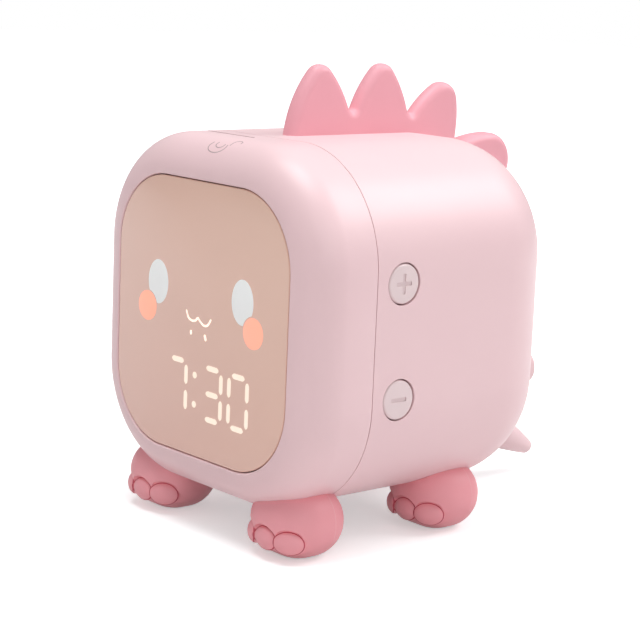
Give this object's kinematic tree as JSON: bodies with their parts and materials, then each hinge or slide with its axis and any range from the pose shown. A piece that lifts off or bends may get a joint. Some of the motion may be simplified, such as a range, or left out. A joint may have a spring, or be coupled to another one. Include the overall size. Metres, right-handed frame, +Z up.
{
  "type": "alarm clock",
  "caption": "Rounded table alarm clock and night light on paw feet, with a lit digit display in its face, a lobed crest, a tail and push buttons.",
  "frame": {"origin": "under the middle of the object's box, on the surface it stands on", "axes": "+X towards the side with the plus and minus buttons, -Y towards the face, +Z up"},
  "size_m": [0.1, 0.138, 0.1331],
  "materials": {
    "shell": "satin moulded ABS, pale pink",
    "window": "satin translucent window, dusty pink",
    "crest": "satin moulded plastic, pink",
    "paw": "satin moulded plastic, darker pink",
    "diffuser": "frosted sheet",
    "lit_segment": "frosted light windows, lit",
    "led": "LED package",
    "dark_plastic": "black moulded plastic",
    "board": "circuit board",
    "metal": "plated steel",
    "dark_metal": "ferrite magnet",
    "copper": "copper foil",
    "foam": "adhesive foam",
    "battery_wrap": "heat-shrunk wrap",
    "paper": "pressed paper cone"
  },
  "bodies": {
    "case": {"front_shell": "shell", "rear_shell": "shell", "tail": "shell", "face_lens": "window", "lens_tape": "foam", "light_diffuser": "diffuser", "segment_housing": "dark_plastic", "segment_windows": "lit_segment", "display_leds": "led", "night_light_leds": "led", "display_board": "board", "night_light_board": "board", "main_board": "board", "side_board": "board", "main_board_chips": "dark_plastic", "charging_socket": "metal", "rear_switches": "dark_plastic", "side_switches": "dark_plastic", "battery_pad": "foam", "battery_pack": "battery_wrap", "speaker_frame": "metal", "speaker_magnet": "dark_metal", "speaker_cone": "paper", "speaker_gasket": "foam", "touch_pad": "copper", "crest": "crest", "rear_spike": "crest", "case_screws": "metal", "foot_screws": "metal", "board_screws": "metal", "trim_screws": "metal", "front_left_foot": "paw", "front_right_foot": "paw", "rear_left_foot": "paw", "rear_right_foot": "paw"},
    "plus_key": {"plus_button": "shell", "plus_plunger": "dark_plastic"},
    "minus_key": {"minus_button": "shell", "minus_plunger": "dark_plastic"},
    "alarm_key": {"alarm_button": "shell", "alarm_plunger": "dark_plastic"},
    "clock_key": {"clock_button": "shell", "clock_plunger": "dark_plastic"}
  },
  "joints": [
    {"name": "plus_press", "type": "slide", "parent": "case", "child": "plus_key", "axis": [-1, 0, 0], "range_m": [0, 0.0005], "stiffness_N_per_m": 1500},
    {"name": "minus_press", "type": "slide", "parent": "case", "child": "minus_key", "axis": [-1, 0, 0], "range_m": [0, 0.0005], "stiffness_N_per_m": 1500},
    {"name": "alarm_press", "type": "slide", "parent": "case", "child": "alarm_key", "axis": [0, -1, 0], "range_m": [0, 0.0005], "stiffness_N_per_m": 1500},
    {"name": "clock_press", "type": "slide", "parent": "case", "child": "clock_key", "axis": [0, -1, 0], "range_m": [0, 0.0005], "stiffness_N_per_m": 1500}
  ]
}
